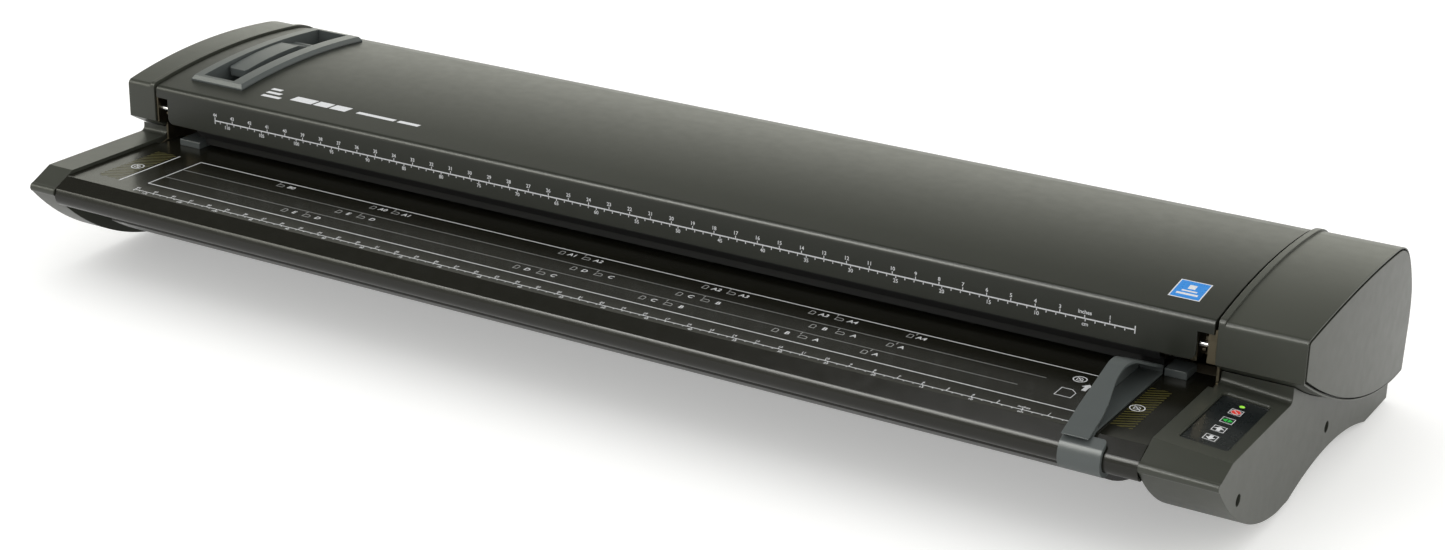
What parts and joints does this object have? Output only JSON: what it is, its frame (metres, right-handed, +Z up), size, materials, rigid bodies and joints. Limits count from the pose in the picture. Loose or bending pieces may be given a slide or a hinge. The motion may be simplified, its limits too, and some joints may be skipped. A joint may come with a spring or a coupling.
{
  "type": "wide-format sheet-feed scanner",
  "caption": "Wide-format sheet-feed scanner: low feed bed with printed rulers and a sliding edge guide, a hinged lid with a latch lever, and moulded end pods with a key panel.",
  "frame": {"origin": "centre of the footprint, on the table the rubber feet stand on", "axes": "+X to the right as the operator sees it, +Y away from the operator, +Z up"},
  "size_m": [1.424, 0.5103, 0.2085],
  "materials": {
    "lid_paint": "charcoal satin powder coat",
    "bed_paint": "near-black satin powder coat",
    "pod_plastic": "fine-textured dark grey moulding",
    "trim_plastic": "blue-grey moulding, light texture",
    "black_plastic": "black moulding",
    "white_plastic": "matt white",
    "zinc_steel": "zinc-plated sheet",
    "shaft_steel": "ground steel bar",
    "bronze": "sintered bronze",
    "pulley_metal": "turned",
    "rubber_black": "matt black rubber",
    "rubber_grey": "ground grey rubber",
    "clear_glass": "polished",
    "panel_film": "dark glossy membrane",
    "button_film": "dark glossy key",
    "light_plastic": "green lens",
    "board_green": "solder-masked board",
    "sensor_black": "black moulded bar",
    "motor_metal": "black enamelled stack",
    "supply_metal": "folded case",
    "ribbon_plastic": "flat grey cable"
  },
  "bodies": {
    "chassis": {"bed_plate": "bed_paint", "rear_table": "bed_paint", "rear_cover": "bed_paint", "scan_glass": "clear_glass", "bed_blocks": "trim_plastic", "base_pan": "bed_paint", "side_plates": "zinc_steel", "cross_rails": "zinc_steel", "sensor_tray": "zinc_steel", "image_sensors": "sensor_black", "right_lower_pod": "pod_plastic", "left_lower_pod": "pod_plastic", "side_screws": "shaft_steel", "rubber_feet": "rubber_black", "right_upper_pod": "pod_plastic", "left_upper_pod": "pod_plastic", "right_end_cap": "pod_plastic", "left_end_cap": "pod_plastic", "hinge_pins": "shaft_steel", "latch_pins": "shaft_steel", "roller_bearings": "bronze", "feed_motor": "motor_metal", "timing_belt": "rubber_black", "main_board": "board_green", "power_supply": "supply_metal", "ribbon_cable": "ribbon_plastic", "connector_panel": "black_plastic", "control_overlay": "panel_film", "keypad_board": "board_green", "status_light": "light_plastic"},
    "lid": {"lid_shell": "lid_paint", "lid_frame": "zinc_steel", "lid_front_rail": "black_plastic", "lid_rear_guide": "black_plastic", "background_plate": "white_plastic", "hinge_bushes": "bronze", "handle_bezel": "trim_plastic", "lever_spring": "shaft_steel"},
    "lever": {"release_lever": "trim_plastic", "lever_pin": "shaft_steel"},
    "link": {"push_link": "zinc_steel"},
    "latch": {"latch_shaft": "shaft_steel", "latch_hooks": "zinc_steel"},
    "front_pressure": {"front_pressure_shaft": "shaft_steel", "front_pressure_wheels": "rubber_grey"},
    "rear_pressure": {"rear_pressure_shaft": "shaft_steel", "rear_pressure_wheels": "rubber_grey"},
    "front_roller": {"front_roller_shaft": "shaft_steel", "front_roller_sleeves": "rubber_grey", "front_roller_pulley": "pulley_metal"},
    "rear_roller": {"rear_roller_shaft": "shaft_steel", "rear_roller_sleeves": "rubber_grey", "rear_roller_pulley": "pulley_metal"},
    "motor_rotor": {"motor_pulley": "pulley_metal"},
    "stop_key": {"stop_button": "button_film"},
    "copy_key": {"copy_button": "button_film"},
    "forward_key": {"forward_button": "button_film"},
    "back_key": {"back_button": "button_film"},
    "rocker": {"power_rocker": "black_plastic"},
    "guide": {"paper_guide": "trim_plastic"}
  },
  "joints": [
    {"name": "lid_hinge", "type": "hinge", "parent": "chassis", "child": "lid", "pos_m": [0, 0.2165, 0.14], "axis": [-1, 0, 0], "range_deg": [0, 55]},
    {"name": "latch_turn", "type": "hinge", "parent": "lid", "child": "latch", "pos_m": [0, -0.0575, 0.171], "axis": [1, 0, 0], "range_deg": [0, 28]},
    {"name": "lever_lift", "type": "hinge", "parent": "lid", "child": "lever", "pos_m": [-0.606, 0.106, 0.193], "axis": [-1, 0, 0], "range_deg": [0, 22]},
    {"name": "link_slide", "type": "slide", "parent": "lid", "child": "link", "axis": [0, -1, 0], "range_m": [0, 0.0047]},
    {"name": "front_pressure_spin", "type": "hinge", "parent": "lid", "child": "front_pressure", "pos_m": [0, -0.042, 0.1269], "axis": [1, 0, 0], "continuous": true},
    {"name": "rear_pressure_spin", "type": "hinge", "parent": "lid", "child": "rear_pressure", "pos_m": [0, 0.057, 0.1269], "axis": [1, 0, 0], "continuous": true},
    {"name": "front_roller_spin", "type": "hinge", "parent": "chassis", "child": "front_roller", "pos_m": [0, -0.042, 0.1039], "axis": [1, 0, 0], "continuous": true},
    {"name": "rear_roller_spin", "type": "hinge", "parent": "chassis", "child": "rear_roller", "pos_m": [0, 0.057, 0.1039], "axis": [1, 0, 0], "continuous": true},
    {"name": "motor_spin", "type": "hinge", "parent": "chassis", "child": "motor_rotor", "pos_m": [0.632, 0.008, 0.06], "axis": [1, 0, 0], "continuous": true},
    {"name": "stop_press", "type": "slide", "parent": "chassis", "child": "stop_key", "axis": [-0.0797, 0, -0.9968], "range_m": [0, 0.0008], "stiffness_N_per_m": 600},
    {"name": "copy_press", "type": "slide", "parent": "chassis", "child": "copy_key", "axis": [-0.0797, 0, -0.9968], "range_m": [0, 0.0008], "stiffness_N_per_m": 600},
    {"name": "forward_press", "type": "slide", "parent": "chassis", "child": "forward_key", "axis": [-0.0797, 0, -0.9968], "range_m": [0, 0.0008], "stiffness_N_per_m": 600},
    {"name": "back_press", "type": "slide", "parent": "chassis", "child": "back_key", "axis": [-0.0797, 0, -0.9968], "range_m": [0, 0.0008], "stiffness_N_per_m": 600},
    {"name": "rocker_tilt", "type": "hinge", "parent": "chassis", "child": "rocker", "pos_m": [0.47, 0.2295, 0.055], "axis": [1, 0, 0], "range_deg": [-6, 6]},
    {"name": "guide_slide", "type": "slide", "parent": "chassis", "child": "guide", "axis": [-1, 0, 0], "range_m": [0, 1.05]}
  ],
  "couplings": [
    {"joint": "lever_lift", "follows": "latch_turn", "ratio": 0.7857},
    {"joint": "link_slide", "follows": "latch_turn", "m_per_rad": 0.0096},
    {"joint": "rear_roller_spin", "follows": "front_roller_spin", "ratio": 1},
    {"joint": "motor_spin", "follows": "front_roller_spin", "ratio": 2}
  ]
}
